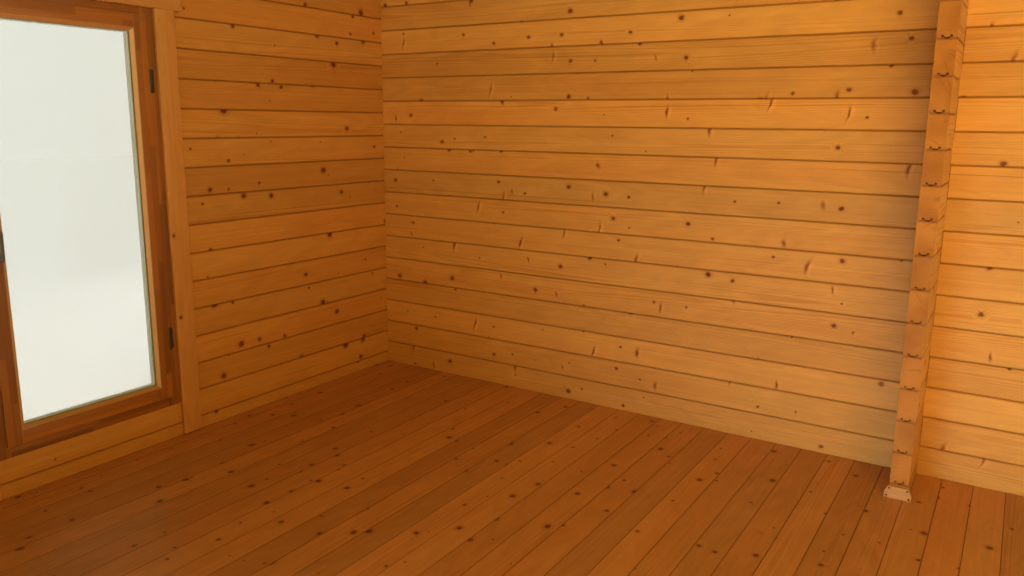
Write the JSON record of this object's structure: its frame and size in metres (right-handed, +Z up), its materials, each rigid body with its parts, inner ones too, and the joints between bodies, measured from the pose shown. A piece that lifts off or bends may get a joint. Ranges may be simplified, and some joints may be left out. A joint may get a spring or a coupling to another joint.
{
  "type": "log cabin corner with window",
  "caption": "Corner of a log-built garden room: two interlocked log walls, a short stub wall, a tall wooden casement window and a boarded floor on joists.",
  "frame": {"origin": "middle of the bounding box's base, on the ground under the joists", "axes": "+X along the back wall away from the corner, +Y from the room out through the back wall, +Z up"},
  "size_m": [3.72, 2.88, 2.349],
  "materials": {
    "log_wood": "planed spruce, aged honey colour, dry",
    "floor_wood": "pine boards with a satin oil",
    "bearer_wood": "rough sawn, impregnated",
    "window_wood": "finger-jointed laminated pine, satin stain",
    "casing_wood": "planed spruce boards",
    "window_glass": "clear",
    "spacer_metal": "satin",
    "fitting_metal": "satin grey"
  },
  "bodies": {
    "root": {"back_log_01": "log_wood", "back_log_02": "log_wood", "back_log_03": "log_wood", "back_log_04": "log_wood", "back_log_05": "log_wood", "back_log_06": "log_wood", "back_log_07": "log_wood", "back_log_08": "log_wood", "back_log_09": "log_wood", "back_log_10": "log_wood", "back_log_11": "log_wood", "back_log_12": "log_wood", "back_log_13": "log_wood", "back_log_14": "log_wood", "back_log_15": "log_wood", "back_log_16": "log_wood", "back_log_17": "log_wood", "left_base_log": "log_wood", "left_sill_log": "log_wood", "left_head_log": "log_wood", "left_upper_log": "log_wood", "left_top_log": "log_wood", "left_near_logs_even": "log_wood", "left_near_logs_odd": "log_wood", "left_far_logs_even": "log_wood", "left_far_logs_odd": "log_wood", "stub_logs_even": "log_wood", "stub_logs_odd": "log_wood", "stub_foot_block": "log_wood", "floor_deck": "floor_wood", "floor_joists": "bearer_wood", "back_bearer": "bearer_wood", "left_bearer": "bearer_wood", "stub_bearer": "bearer_wood", "window_frame": "window_wood", "window_sash": "window_wood", "inner_casing_uprights": "casing_wood", "inner_head_casing": "casing_wood", "outer_casing_uprights": "casing_wood", "outer_head_casing": "casing_wood", "drip_board": "casing_wood", "window_panes": "window_glass", "glass_spacer": "spacer_metal", "window_handle": "fitting_metal", "window_hinges": "fitting_metal"}
  },
  "joints": []
}
